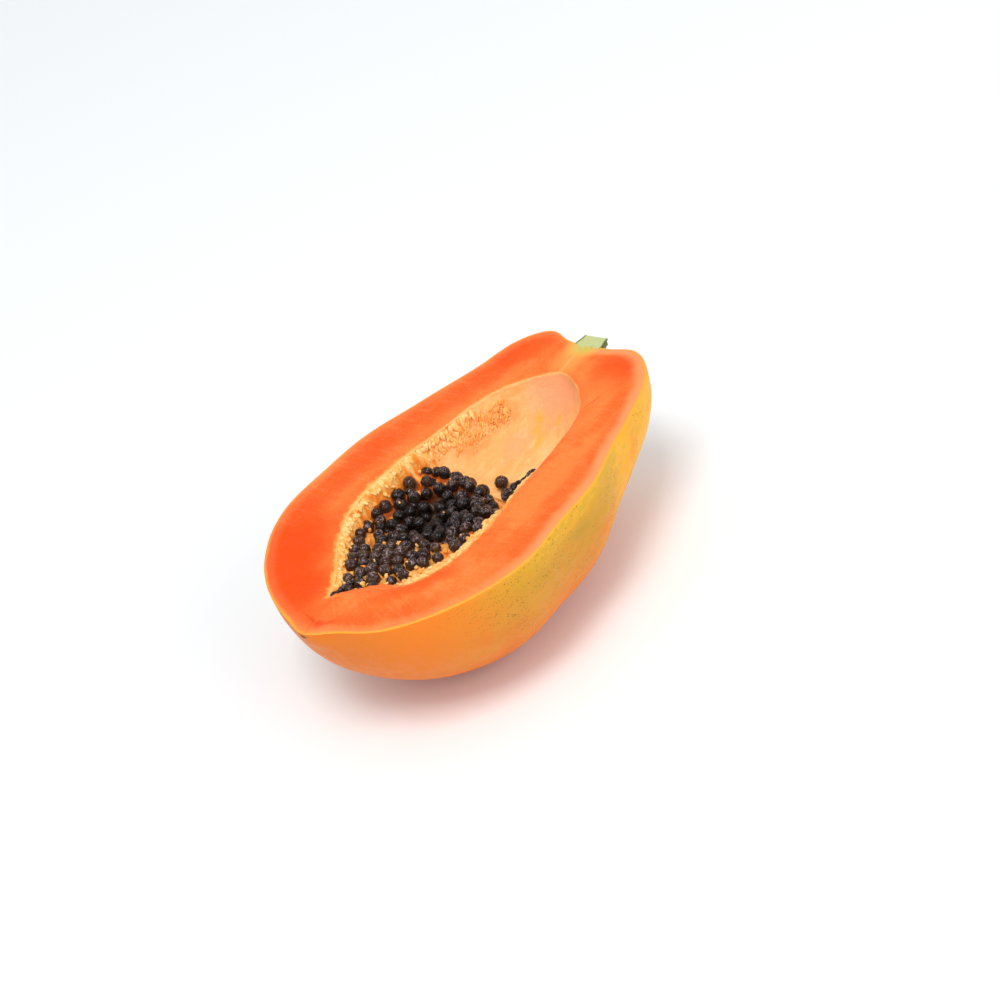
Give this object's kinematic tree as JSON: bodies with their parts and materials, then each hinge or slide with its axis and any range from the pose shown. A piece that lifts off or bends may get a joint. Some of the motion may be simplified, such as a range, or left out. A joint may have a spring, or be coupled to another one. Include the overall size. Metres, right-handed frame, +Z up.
{
  "type": "papaya half",
  "caption": "Half of a ripe papaya, cut lengthways and lying on its skin: orange flesh round an open cavity with a heap of dark seeds, and the halved stub of the stalk.",
  "frame": {"origin": "on the surface that the half lies on, under the middle of its bounding box", "axes": "+X along the fruit towards the stem end, +Y across the cut, +Z up, out of the cut face"},
  "size_m": [0.209, 0.1374, 0.0681],
  "materials": {
    "flesh": "moist orange flesh inside, waxy ochre and green mottled skin outside",
    "seeds": "glossy wrinkled brown-black",
    "stem": "dull green, woody"
  },
  "bodies": {
    "root": {"fruit_half": "flesh", "seed_cluster": "seeds", "loose_seed_1": "seeds", "loose_seed_2": "seeds", "stem_stub": "stem"}
  },
  "joints": []
}
